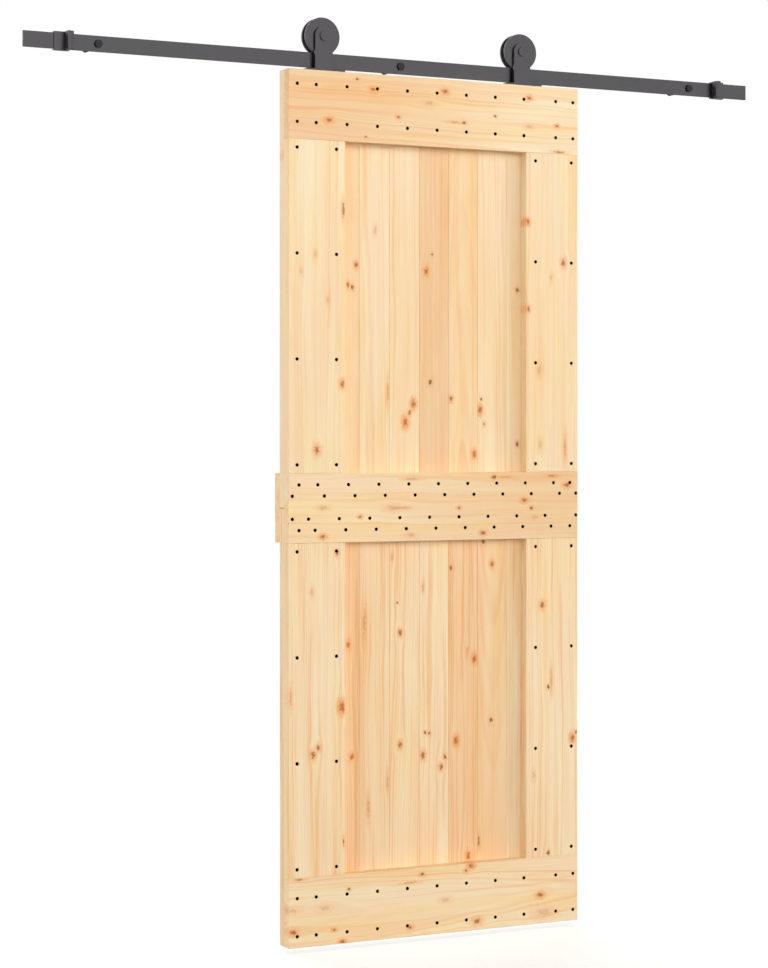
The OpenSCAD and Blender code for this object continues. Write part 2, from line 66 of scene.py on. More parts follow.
Rgba = tuple[float, float, float, float]
Waves = tuple[float, float, float]
Span = tuple[float, float]
Socket = bpy.types.NodeSocket
Feed = Socket | float | tuple[float, ...]

WHITE: Rgba = (1.0, 1.0, 1.0, 1.0)
NOISE_SPAN: Span = (0.28, 0.72)
NOISE_MIDDLE = 0.5


def linear(red: float, green: float, blue: float) -> Rgba:
    """Turns a colour as it is seen into the linear light values that a shader takes.

    Args:
        red: Red share as seen, 0 to 255.
        green: Green share as seen, 0 to 255.
        blue: Blue share as seen, 0 to 255.

    Returns:
        The colour in linear light, with full alpha.
    """
    seen = np.array([red, green, blue]) / 255
    light = np.where(seen <= 0.04045, seen / 12.92, ((seen + 0.055) / 1.055) ** 2.4)
    return (float(light[0]), float(light[1]), float(light[2]), 1.0)


class Graph:
    """A shader node tree with one call for each kind of node that the finishes use."""

    def __init__(self, tree: bpy.types.NodeTree) -> None:
        """Keeps the tree that the calls add to."""
        self.tree = tree

    def node(self, kind: str, **settings: object) -> bpy.types.Node:
        """Adds a node.

        Args:
            kind: Blender's name of the node type.
            settings: Properties of the node and their values.

        Returns:
            The new node.
        """
        made = self.tree.nodes.new(kind)
        for name, value in settings.items():
            setattr(made, name, value)
        return made

    def feed(self, socket: Socket, value: Feed) -> None:
        """Links a socket into another one, or sets its constant.

        Args:
            socket: The input to be fed.
            value: A socket to link, or the constant.
        """
        if isinstance(value, bpy.types.NodeSocket):
            self.tree.links.new(value, socket)
        else:
            socket.default_value = value

    def math(self, operation: str, *values: Feed) -> Socket:
        """Adds a Math node.

        Args:
            operation: Name of the sum, such as MULTIPLY.
            values: What goes into the node, in order.

        Returns:
            The result's socket.
        """
        made = self.node("ShaderNodeMath", operation=operation)
        for socket, value in zip(made.inputs, values):
            self.feed(socket, value)
        return made.outputs[0]

    def combine(self, *values: Feed) -> Socket:
        """Joins three values into a vector.

        Args:
            values: The three values, in order.

        Returns:
            The vector's socket.
        """
        made = self.node("ShaderNodeCombineXYZ")
        for socket, value in zip(made.inputs, values):
            self.feed(socket, value)
        return made.outputs[0]

    def split(self, vector: Feed) -> tuple[Socket, Socket, Socket]:
        """Takes a vector apart.

        Args:
            vector: The vector.

        Returns:
            The sockets of its three values.
        """
        made = self.node("ShaderNodeSeparateXYZ")
        self.feed(made.inputs[0], vector)
        return made.outputs[0], made.outputs[1], made.outputs[2]

    def stretch(self, vector: Feed, scale: Waves) -> Socket:
        """Multiplies a vector by a scale for each axis.

        Args:
            vector: The vector.
            scale: The three scales.

        Returns:
            The stretched vector's socket.
        """
        made = self.node("ShaderNodeVectorMath", operation="MULTIPLY")
        self.feed(made.inputs[0], vector)
        self.feed(made.inputs[1], scale)
        return made.outputs[0]

    def raw_noise(self, vector: Feed, seed: Feed, scale: Feed, detail: float) -> Socket:
        """Adds smooth noise, which keeps near the middle of 0 to 1.

        Args:
            vector: Place that the noise is read at.
            seed: Fourth coordinate, which picks another noise field.
            scale: Waves for each unit of the vector.
            detail: Octaves added to the first one.

        Returns:
            The noise's socket.
        """
        made = self.node("ShaderNodeTexNoise", noise_dimensions="4D")
        for name, given in (("Vector", vector), ("W", seed), ("Scale", scale), ("Detail", detail)):
            self.feed(made.inputs[name], given)
        return made.outputs[0]

    def noise(self, vector: Feed, seed: Feed, scale: float = 1.0, detail: float = 2.0) -> Socket:
        """Adds the same smooth noise, spread over 0 to 1."""
        return self.remap(self.raw_noise(vector, seed, scale, detail), *NOISE_SPAN)

    def remap(
        self, value: Feed, low: float, high: float, out_low: float = 0.0, out_high: float = 1.0
    ) -> Socket:
        """Carries a value from one range to another on a smooth step, held at both ends.

        Args:
            value: The value.
            low: Where the step starts.
            high: Where the step ends.
            out_low: Result up to the start.
            out_high: Result from the end on.

        Returns:
            The result's socket.
        """
        made = self.node("ShaderNodeMapRange", interpolation_type="SMOOTHSTEP")
        names = ("Value", "From Min", "From Max", "To Min", "To Max")
        for name, given in zip(names, (value, low, high, out_low, out_high)):
            self.feed(made.inputs[name], given)
        return made.outputs[0]

    def mix(self, share: Feed, first: Feed, second: Feed, blend: str = "MIX") -> Socket:
        """Mixes two colours.

        Args:
            share: Share of the second colour.
            first: Colour at share 0.
            second: Colour at share 1.
            blend: Blender's name of the way they mix.

        Returns:
            The mixed colour's socket.
        """
        made = self.node("ShaderNodeMix", data_type="RGBA", blend_type=blend)
        sockets = {socket.identifier: socket for socket in made.inputs}
        self.feed(sockets["Factor_Float"], share)
        self.feed(sockets["A_Color"], first)
        self.feed(sockets["B_Color"], second)
        return next(socket for socket in made.outputs if socket.identifier == "Result_Color")

    def bump(self, height: Feed, strength: float, distance: float) -> Socket:
        """Turns a height into a normal.

        Args:
            height: The height.
            strength: Strength of the bump.
            distance: Depth of the bump in metres.

        Returns:
            The normal's socket.
        """
        made = self.node("ShaderNodeBump")
        for name, given in (("Height", height), ("Strength", strength), ("Distance", distance)):
            self.feed(made.inputs[name], given)
        return made.outputs[0]

    def use(self, group: bpy.types.NodeTree, **feeds: Feed) -> dict[str, Socket]:
        """Places a node group.

        Args:
            group: The group's tree.
            feeds: What goes into its inputs; an underscore in a name stands for a space.

        Returns:
            Its output sockets by name.
        """
        made = self.node("ShaderNodeGroup", node_tree=group)
        for name, value in feeds.items():
            self.feed(made.inputs[name.replace("_", " ")], value)
        return {socket.name: socket for socket in made.outputs}

    def cover(
        self, colour: Feed, roughness: Feed, normal: Feed, specular: float, metallic: float = 0.0
    ) -> None:
        """Adds a material's shader and output.

        Args:
            colour: Base colour.
            roughness: Roughness.
            normal: Normal with the bump in it.
            specular: Specular level, the same all over.
            metallic: Share of bare metal, the same all over.
        """
        shader = self.node("ShaderNodeBsdfPrincipled")
        shader.inputs["Metallic"].default_value = metallic
        shader.inputs["Specular IOR Level"].default_value = specular
        for name, given in (("Base Color", colour), ("Roughness", roughness), ("Normal", normal)):
            self.feed(shader.inputs[name], given)
        self.feed(self.node("ShaderNodeOutputMaterial").inputs["Surface"], shader.outputs[0])


def new_material(name: str) -> tuple[bpy.types.Material, Graph]:
    """Makes a material without nodes.

    Args:
        name: Name of the material.

    Returns:
        The material, and the graph that takes its nodes.
    """
    made = bpy.data.materials.new(name)
    made.use_nodes = True
    made.node_tree.nodes.clear()
    return made, Graph(made.node_tree)

class GroupSheet(Graph):
    """A node group under construction, with named inputs and outputs."""

    def __init__(self, name: str, inputs: tuple[str, ...], outputs: tuple[str, ...]) -> None:
        """Makes the group's tree and its sockets.

        Args:
            name: Name of the group.
            inputs: Names of the inputs; Position is a vector and the others are values.
            outputs: Names of the outputs, all values.
        """
        super().__init__(bpy.data.node_groups.new(name, "ShaderNodeTree"))
        for label in inputs:
            kind = "NodeSocketVector" if label == "Position" else "NodeSocketFloat"
            self.tree.interface.new_socket(name=label, in_out="INPUT", socket_type=kind)
        for label in outputs:
            self.tree.interface.new_socket(name=label, in_out="OUTPUT", socket_type="NodeSocketFloat")
        self.given = self.node("NodeGroupInput").outputs
        self.result = self.node("NodeGroupOutput").inputs

    def close(self, **results: Feed) -> bpy.types.NodeTree:
        """Feeds the outputs.

        Args:
            results: What goes into each output, by name.

        Returns:
            The finished tree.
        """
        for name, value in results.items():
            self.feed(self.result[name], value)
        return self.tree


@dataclass(frozen=True)
class GrainLook:
    """Numbers of the pine's grain.

    Waves are counted for each metre across, through and along a board, and a reach is in metres. A span is the
    range of a value over which a colour comes in or goes out.
    """

    wander: Waves = (9.0, 9.0, 1.3)
    wander_reach: float = 9 * MM
    wiggle: Waves = (20.0, 20.0, 5.0)
    wiggle_reach: float = 5 * MM
    uneven_waves: float = 30.0
    uneven_rings: float = 1.6
    late_span: Span = (0.15, 0.8)
    ring_end_span: Span = (0.82, 1.0)
    ring_seed_step: float = 17.3
    ring_power: float = 1.5
    ring_spread: float = 1.1
    ring_least: float = 0.1
    honey: Waves = (32.0, 32.0, 1.8)
    honey_rings: float = 0.6
    plain_rings: float = 0.4
    streak: Waves = (110.0, 110.0, 1.8)
    streak_detail: float = 4.0
    line_span: Span = (0.5, 1.0)
    fibre: Waves = (1100.0, 1100.0, 20.0)
    pale: Waves = (24.0, 24.0, 2.0)
    pale_seed: float = 57.0
    blush: Waves = (22.0, 22.0, 3.0)
    blush_seed: float = 91.0


def grain_group(look: GrainLook) -> bpy.types.NodeTree:
    """Makes the grain of sawn pine.

    The growth rings are shells round the tree's heart, which runs along the board beside it and leans a little:
    the ring number is the distance from the heart over the ring width. Early wood darkens slowly towards the
    late wood, which ends soon, and each ring has a depth of its own. Noises drawn out along the board give
    fibres, and lines and bands of honey, pale and pinkish wood that sway with the rings.

    Args:
        look: Numbers of the grain.

    Returns:
        The group's tree.
    """
    sheet = GroupSheet(
        "pine_grain",
        ("Position", "Push", "Heart Across", "Heart Behind", "Lean", "Ring Width", "Seed"),
        ("Rings", "Lines", "Fibre", "Honey", "Pale", "Blush"),
    )
    given = sheet.given
    place, seed = given["Position"], given["Seed"]
    across, depth, along = sheet.split(place)
    wander = sheet.noise(sheet.stretch(place, look.wander), seed)
    wiggle = sheet.noise(sheet.stretch(place, look.wiggle), seed)
    sway = sheet.math("MULTIPLY_ADD", wiggle, look.wiggle_reach, given["Push"])
    sway = sheet.math("MULTIPLY_ADD", wander, look.wander_reach, sway)
    swayed = sheet.math("ADD", across, sway)
    flow = sheet.combine(swayed, depth, along)
    from_heart = sheet.math("SUBTRACT", swayed, given["Heart Across"])
    heart_depth = sheet.math("MULTIPLY_ADD", along, given["Lean"], given["Heart Behind"])
    behind = sheet.math("SUBTRACT", depth, heart_depth)
    squares = sheet.math("ADD", sheet.math("POWER", from_heart, 2.0), sheet.math("POWER", behind, 2.0))
    radius = sheet.math("SQRT", squares)
    uneven = sheet.noise(sheet.combine(sheet.math("MULTIPLY", radius, look.uneven_waves), 0.0, 0.0), seed)
    even = sheet.math("DIVIDE", radius, given["Ring Width"])
    number = sheet.math("MULTIPLY_ADD", uneven, look.uneven_rings, even)
    saw = sheet.math("FRACT", number)
    darkening, ending = sheet.remap(saw, *look.late_span), sheet.remap(saw, *look.ring_end_span, 1.0, 0.0)
    late_wood = sheet.math("MULTIPLY", darkening, ending)
    chance = sheet.node("ShaderNodeTexWhiteNoise", noise_dimensions="1D")
    ring_seed = sheet.math("MULTIPLY_ADD", seed, look.ring_seed_step, sheet.math("FLOOR", number))
    sheet.feed(chance.inputs["W"], ring_seed)
    chosen = sheet.math("POWER", chance.outputs["Value"], look.ring_power)
    depth_share = sheet.math("MULTIPLY_ADD", chosen, look.ring_spread, look.ring_least)
    honey = sheet.noise(sheet.stretch(flow, look.honey), seed)
    in_honey = sheet.math("MULTIPLY_ADD", honey, look.honey_rings, look.plain_rings)
    streaks = sheet.noise(sheet.stretch(flow, look.streak), seed, detail=look.streak_detail)
    return sheet.close(
        Rings=sheet.math("MULTIPLY", sheet.math("MULTIPLY", late_wood, depth_share), in_honey),
        Lines=sheet.remap(streaks, *look.line_span),
        Fibre=sheet.noise(sheet.stretch(place, look.fibre), seed),
        Honey=honey,
        Pale=sheet.noise(sheet.stretch(flow, look.pale), sheet.math("ADD", seed, look.pale_seed)),
        Blush=sheet.noise(sheet.stretch(flow, look.blush), sheet.math("ADD", seed, look.blush_seed)),
    )


@dataclass(frozen=True)
class KnotShape:
    """Numbers that all knots share: their raggedness, the spans of their edges in radii, and their push."""

    ragged: float = 0.6
    core_span: Span = (0.3, 0.95)
    halo_span: Span = (0.5, 2.5)
    side_fade: float = -0.2
    end_fade: float = -0.12
    push: float = -0.8


def knot_group(shape: KnotShape) -> bpy.types.NodeTree:
    """Makes one knot, added to the knots before it.

    A knot is an oval column through the board: its distance is counted in radii across the grain and in
    stretched radii along it, with a ragged edge. The grain is pushed apart round it, most at its side and less
    along it.

    Args:
        shape: Numbers that all knots share.

    Returns:
        The group's tree.
    """
    sheet = GroupSheet(
        "pine_knot",
        (
            "Position", "Ragged", "Across", "Along", "Radius", "Stretch", "Core Depth", "Halo Depth",
            "Redness", "Core In", "Halo In", "Red In", "Push In",
        ),
        ("Core", "Halo", "Red", "Push"),
    )
    given = sheet.given
    across, _, along = sheet.split(given["Position"])
    aside = sheet.math("SUBTRACT", across, given["Across"])
    side = sheet.math("DIVIDE", aside, given["Radius"])
    length = sheet.math("MULTIPLY", given["Radius"], given["Stretch"])
    end = sheet.math("DIVIDE", sheet.math("SUBTRACT", along, given["Along"]), length)
    side_squared = sheet.math("POWER", side, 2.0)
    end_squared = sheet.math("POWER", end, 2.0)
    oval = sheet.math("SQRT", sheet.math("ADD", side_squared, end_squared))
    distance = sheet.math("MULTIPLY_ADD", given["Ragged"], shape.ragged, oval)
    core = sheet.math("MULTIPLY", sheet.remap(distance, *shape.core_span, 1.0, 0.0), given["Core Depth"])
    halo = sheet.math("MULTIPLY", sheet.remap(distance, *shape.halo_span, 1.0, 0.0), given["Halo Depth"])
    faded_side = sheet.math("MULTIPLY", side_squared, shape.side_fade)
    faded_end = sheet.math("MULTIPLY", end_squared, shape.end_fade)
    fade = sheet.math("EXPONENT", sheet.math("ADD", faded_side, faded_end))
    push = sheet.math("MULTIPLY", sheet.math("MULTIPLY", aside, fade), shape.push)
    return sheet.close(
        Core=sheet.math("MAXIMUM", core, given["Core In"]),
        Halo=sheet.math("MAXIMUM", halo, given["Halo In"]),
        Red=sheet.math("MAXIMUM", sheet.math("MULTIPLY", core, given["Redness"]), given["Red In"]),
        Push=sheet.math("ADD", push, given["Push In"]),
    )


def coat_group() -> bpy.types.NodeTree:
    """Makes the surface of a coating or a rolled or moulded skin: clouds of tone, an even grit and its height.

    Returns:
        The group's tree.
    """
    grit_detail, cloud_detail, half = 2.0, 4.0, 0.5
    cloud_span: Span = (0.3, 0.7)
    sheet = GroupSheet(
        "coat_skin",
        ("Position", "Grit Scale", "Cloud Scale", "Roughness", "Spread", "Seed"),
        ("Cloud", "Roughness", "Height"),
    )
    given = sheet.given
    place, seed = given["Position"], given["Seed"]
    grit = sheet.raw_noise(place, seed, given["Grit Scale"], grit_detail)
    clouds = sheet.raw_noise(place, seed, given["Cloud Scale"], cloud_detail)
    cloud = sheet.remap(clouds, *cloud_span)
    both = sheet.math("MULTIPLY_ADD", cloud, half, sheet.math("MULTIPLY", grit, half))
    apart = sheet.math("SUBTRACT", both, NOISE_MIDDLE)
    rough = sheet.math("MULTIPLY_ADD", apart, given["Spread"], given["Roughness"])
    return sheet.close(Cloud=cloud, Roughness=rough, Height=grit)


class Grain(Enum):
    """Which way a board's length runs."""

    UPRIGHT = "upright"
    LEVEL = "level"


class Tone(Enum):
    """Tints of single boards, as shares of the plain pine's light."""

    PALE = (1.0, 1.03, 1.06)
    PLAIN = (1.0, 1.0, 1.0)
    WARM = (0.985, 0.93, 0.88)
    HONEY = (0.965, 0.87, 0.79)
    TAN = (0.935, 0.82, 0.73)


@dataclass(frozen=True)
class RingLook:
    """How a board's growth rings show.

    Their width is in millimetres, and the shares are the depth of the rings' and of the lines' colour.
    """

    width: float
    ring_share: float
    line_share: float


class Figure(Enum):
    """Kinds of figure on a board."""

    SMOOTH = RingLook(9.0, 0.42, 0.2)
    FINE = RingLook(4.5, 0.72, 0.58)
    BOLD = RingLook(7.0, 0.62, 0.36)


@dataclass(frozen=True)
class KnotLook:
    """How a kind of knot shows: length over width, depth of core and halo, and how red the core is."""

    stretch: float
    core: float
    halo: float
    redness: float


class Kind(Enum):
    """Kinds of knot."""

    TIGHT = KnotLook(1.5, 0.88, 0.62, 0.8)
    DEAD = KnotLook(1.4, 0.95, 0.35, 0.15)
    RED = KnotLook(1.6, 0.85, 0.85, 1.0)
    FAINT = KnotLook(2.4, 0.2, 0.28, 0.6)
    STREAK = KnotLook(7.0, 0.25, 0.5, 0.7)
    SLIT = KnotLook(4.5, 0.7, 0.45, 0.4)


@dataclass(frozen=True)
class Knot:
    """One knot, in millimetres from the door's left edge and bottom edge."""

    x: float
    z: float
    radius: float
    kind: Kind


KnotRow = tuple[float, float, float, Kind]


@dataclass(frozen=True)
class Heart:
    """Where the tree's heart passes a board, in millimetres from its middle, and its lean along the board."""

    across: float
    behind: float
    lean: float


@dataclass(frozen=True)
class Board:
    """One pine board: its node, run of grain, tints, figure, cut from the tree and knots.

    The tint goes from the first one at the foot or left end to the second one at the other end.
    """

    node: str
    grain: Grain
    tones: tuple[Tone, Tone]
    figure: Figure
    heart: Heart
    seed: float
    knots: tuple[Knot, ...] = ()


@dataclass(frozen=True)
class PineFinish:
    """Planed bare pine with a soft sheen."""

    grain: bpy.types.NodeTree
    knot: bpy.types.NodeTree
    door_left: float
    door_bottom: float
    early: Rgba = linear(254, 231, 181)
    late: Rgba = linear(246, 181, 120)
    honey: Rgba = linear(253, 213, 144)
    pale: Rgba = linear(254, 235, 199)
    blush: Rgba = linear(254, 213, 174)
    halo: Rgba = linear(244, 160, 85)
    core_brown: Rgba = linear(143, 87, 36)
    core_red: Rgba = linear(198, 106, 42)
    # end-grain colour, partly real darker end grain and partly painted shade for the joint slot between upper
    # and lower planks
    end_grain_and_joint_shade: Rgba = linear(126, 85, 49)
    honey_share: float = 0.9
    pale_share: float = 0.85
    blush_share: float = 0.5
    end_and_joint_shade_share: float = 0.85
    end_and_joint_shade_span: Span = (0.75, 0.95)
    fibre_depth: float = 0.03
    tint_reach_share: float = 0.8
    ragged_waves: float = 150.0
    roughness: float = 0.5
    fibre_roughness: float = 0.12
    ring_roughness: float = -0.08
    ring_height: float = 0.6
    fibre_height: float = 0.5
    knot_height: float = 0.6
    specular: float = 0.3
    bump_strength: float = 0.25
    bump_depth: float = 0.25 * MM

    def material(self, board: Board) -> bpy.types.Material:
        """Makes the board's own material.

        Args:
            board: The board to be dressed.

        Returns:
            A material whose grain runs along the board.
        """
        made, graph = new_material(f"pine_{board.node}")
        place, centre = self._board_place(graph, board)
        roughening = graph.noise(place, board.seed, scale=self.ragged_waves)
        ragged = graph.math("SUBTRACT", roughening, NOISE_MIDDLE)
        stain: dict[str, Feed] = {"Core": 0.0, "Halo": 0.0, "Red": 0.0, "Push": 0.0}
        for knot in board.knots:
            stain = self._add_knot(graph, board, knot, place, centre, ragged, stain)
        heart = board.heart
        wood = graph.use(
            self.grain,
            Position=place,
            Push=stain["Push"],
            Heart_Across=heart.across * MM,
            Heart_Behind=heart.behind * MM,
            Lean=heart.lean,
            Ring_Width=board.figure.value.width * MM,
            Seed=board.seed,
        )
        colour = self._colour(graph, wood, stain, board, place)
        self._surface(graph, wood, stain, colour)
        return made

    def _board_place(self, graph: Graph, board: Board) -> tuple[Socket, np.ndarray]:
        """Gives places in the board's own frame: across it, through it and along it, from its middle.

        Args:
            graph: The material's tree.
            board: The board.

        Returns:
            The place's socket, and the board's middle in the row frame.
        """
        low, high = (np.array(corner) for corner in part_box(board.node))
        centre = (low + high) / 2
        x, y, z = (float(value) for value in centre)
        coordinates = graph.node("ShaderNodeTexCoord").outputs["Object"]
        mapping = graph.node("ShaderNodeMapping", vector_type="POINT")
        graph.feed(mapping.inputs["Vector"], coordinates)
        if board.grain is Grain.LEVEL:
            mapping.inputs["Rotation"].default_value = (0.0, -math.pi / 2, 0.0)
            mapping.inputs["Location"].default_value = (z, -y, -x)
        else:
            mapping.inputs["Location"].default_value = (-x, -y, -z)
        return mapping.outputs[0], centre

    def _add_knot(
        self,
        graph: Graph,
        board: Board,
        knot: Knot,
        place: Socket,
        centre: np.ndarray,
        ragged: Socket,
        stain: dict[str, Feed],
    ) -> dict[str, Feed]:
        """Adds one knot to those before it.

        Args:
            graph: The material's tree.
            board: The board that the knot is in.
            knot: The knot.
            place: Places in the board's own frame.
            centre: The board's middle in the row frame.
            ragged: Noise that roughens the knot's edge.
            stain: Masks and push of the knots so far.

        Returns:
            The masks and push with this knot.
        """
        right = self.door_left + knot.x * MM - float(centre[0])
        up = self.door_bottom + knot.z * MM - float(centre[2])
        across, along = (-up, right) if board.grain is Grain.LEVEL else (right, up)
        look = knot.kind.value
        return dict(
            graph.use(
                self.knot,
                Position=place,
                Ragged=ragged,
                Across=across,
                Along=along,
                Radius=knot.radius * MM,
                Stretch=look.stretch,
                Core_Depth=look.core,
                Halo_Depth=look.halo,
                Redness=look.redness,
                Core_In=stain["Core"],
                Halo_In=stain["Halo"],
                Red_In=stain["Red"],
                Push_In=stain["Push"],
            )
        )

    def _tint(self, graph: Graph, board: Board, place: Socket) -> Feed:
        """Gives the board's tint, which changes along it where its two ends differ.

        Args:
            graph: The material's tree.
            board: The board.
            place: Places in the board's own frame.

        Returns:
            The tint as a colour or its socket.
        """
        first, second = ((*tone.value, 1.0) for tone in board.tones)
        if first == second:
            return first
        low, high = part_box(board.node)
        reach = max(high - low) / 2 * self.tint_reach_share
        return graph.mix(graph.remap(graph.split(place)[2], -reach, reach), first, second)

    def _colour(
        self, graph: Graph, wood: dict[str, Socket], stain: dict[str, Feed], board: Board, place: Socket
    ) -> Socket:
        """Mixes the wood's colour from its bands, rings, lines and knots. On upright boards the sawn ends get a
        dark colour that is partly real end grain and partly painted shade for the joint between the planks.

        Args:
            graph: The material's tree.
            wood: Outputs of the grain group.
            stain: Masks of the knots.
            board: The board.
            place: Places in the board's own frame.

        Returns:
            The colour's socket.
        """
        banded = graph.mix(graph.math("MULTIPLY", wood["Honey"], self.honey_share), self.early, self.honey)
        banded = graph.mix(graph.math("MULTIPLY", wood["Pale"], self.pale_share), banded, self.pale)
        banded = graph.mix(graph.math("MULTIPLY", wood["Blush"], self.blush_share), banded, self.blush)
        figure = board.figure.value
        ringed = graph.mix(graph.math("MULTIPLY", wood["Rings"], figure.ring_share), banded, self.late)
        lined = graph.mix(graph.math("MULTIPLY", wood["Lines"], figure.line_share), ringed, self.late)
        level = graph.math("MULTIPLY_ADD", wood["Fibre"], -self.fibre_depth, 1.0)
        streaked = graph.mix(1.0, lined, graph.combine(level, level, level), "MULTIPLY")
        tinted = graph.mix(1.0, streaked, self._tint(graph, board, place), "MULTIPLY")
        # painted shade: the end faces of upright boards are darkened beyond real end grain, standing in for the
        # shadow in the joint slot between the planks
        if board.grain is Grain.UPRIGHT:
            upward = graph.split(graph.node("ShaderNodeTexCoord").outputs["Normal"])[2]
            ends_and_joint_shade = graph.remap(graph.math("ABSOLUTE", upward), *self.end_and_joint_shade_span, 0.0, self.end_and_joint_shade_share)
            tinted = graph.mix(ends_and_joint_shade, tinted, self.end_grain_and_joint_shade)
        haloed = graph.mix(stain["Halo"], tinted, self.halo)
        heart = graph.mix(stain["Red"], self.core_brown, self.core_red)
        return graph.mix(stain["Core"], haloed, heart)

    def _surface(
        self, graph: Graph, wood: dict[str, Socket], stain: dict[str, Feed], colour: Socket
    ) -> None:
        """Puts the colour on a shader whose sheen and bump follow the fibres, rings and knots.

        Args:
            graph: The material's tree.
            wood: Outputs of the grain group.
            stain: Masks of the knots.
            colour: The wood's colour.
        """
        rough = graph.math("MULTIPLY_ADD", wood["Fibre"], self.fibre_roughness, self.roughness)
        rough = graph.math("MULTIPLY_ADD", wood["Rings"], self.ring_roughness, rough)
        fibres = graph.math("MULTIPLY", wood["Fibre"], self.fibre_height)
        height = graph.math("MULTIPLY_ADD", wood["Rings"], self.ring_height, fibres)
        height = graph.math("MULTIPLY_ADD", stain["Core"], self.knot_height, height)
        normal = graph.bump(height, self.bump_strength, self.bump_depth)
        graph.cover(colour, rough, normal, self.specular)


@dataclass(frozen=True)
class SkinFinish:
    """A coated, blackened, ground or moulded surface."""

    name: str
    dark: Rgba
    light: Rgba
    metallic: float
    specular: float
    roughness: float
    spread: float
    grit_scale: float
    cloud_scale: float
    bump_strength: float
    bump_depth: float
    seed: float

    def material(self, skin: bpy.types.NodeTree) -> bpy.types.Material:
        """Makes the finish's material.

        Args:
            skin: The shared group of coated skins.

        Returns:
            The material.
        """
        made, graph = new_material(self.name)
        surface = graph.use(
            skin,
            Position=graph.node("ShaderNodeTexCoord").outputs["Object"],
            Grit_Scale=self.grit_scale,
            Cloud_Scale=self.cloud_scale,
            Roughness=self.roughness,
            Spread=self.spread,
            Seed=self.seed,
        )
        colour = graph.mix(surface["Cloud"], self.dark, self.light)
        normal = graph.bump(surface["Height"], self.bump_strength, self.bump_depth)
        graph.cover(colour, surface["Roughness"], normal, self.specular, self.metallic)
        return made


class Skin(Enum):
    """The finishes of the metal and rubber pieces."""

    GREY_COAT = SkinFinish(
        "grey_powder_coat", linear(90, 88, 91), linear(94, 92, 95), metallic=0.0, specular=0.08, roughness=0.5,
        spread=0.16, grit_scale=1500.0, cloud_scale=9.0, bump_strength=0.1, bump_depth=0.04 * MM, seed=1.0,
    )
    DARK_STEEL = SkinFinish(
        "blackened_bolt_steel", linear(49, 47, 49), linear(58, 55, 58), metallic=0.0, specular=0.06,
        roughness=0.5, spread=0.2, grit_scale=1900.0, cloud_scale=60.0, bump_strength=0.15,
        bump_depth=0.05 * MM, seed=2.0,
    )
    BLACK_SCREW = SkinFinish(
        "black_phosphate_screw", linear(5, 4, 5), linear(10, 8, 9), metallic=0.0, specular=0.05, roughness=0.6,
        spread=0.2, grit_scale=2400.0, cloud_scale=240.0, bump_strength=0.2, bump_depth=0.04 * MM, seed=3.0,
    )
    BEARING_STEEL = SkinFinish(
        "ground_bearing_steel", linear(176, 177, 180), linear(200, 201, 204), metallic=1.0, specular=0.5,
        roughness=0.24, spread=0.16, grit_scale=2600.0, cloud_scale=120.0, bump_strength=0.08,
        bump_depth=0.02 * MM, seed=4.0,
    )
    RUBBER = SkinFinish(
        "moulded_rubber", linear(90, 88, 91), linear(98, 96, 99), metallic=0.0, specular=0.05, roughness=0.8,
        spread=0.16, grit_scale=900.0, cloud_scale=40.0, bump_strength=0.25, bump_depth=0.08 * MM, seed=5.0,
    )


def dress(node: str, material: bpy.types.Material) -> None:
    """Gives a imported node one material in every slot.

    Args:
        node: Name of the node.
        material: Its material.
    """
    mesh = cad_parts[node].data
    if not mesh.materials:
        mesh.materials.append(material)
    for index in range(len(mesh.materials)):
        mesh.materials[index] = material
    LOG.info("%s dressed in %s", node, material.name)


def upright(node: str, tone: Tone, figure: Figure, seed: float, heart: Heart, *rows: KnotRow) -> Board:
    """Describes a board of one tint whose grain runs upwards."""
    knots = tuple(Knot(*row) for row in rows)
    return Board(node, Grain.UPRIGHT, (tone, tone), figure, heart, seed, knots)


def level(
    node: str, left: Tone, right: Tone, figure: Figure, seed: float, heart: Heart, *rows: KnotRow
) -> Board:
    """Describes a board whose grain runs sideways, with the tints of its left and right ends."""
    knots = tuple(Knot(*row) for row in rows)
    return Board(node, Grain.LEVEL, (left, right), figure, heart, seed, knots)


PALE, PLAIN, WARM, HONEY, TAN = Tone
SMOOTH, FINE, BOLD = Figure
TIGHT, DEAD, RED, FAINT, STREAK, SLIT = Kind

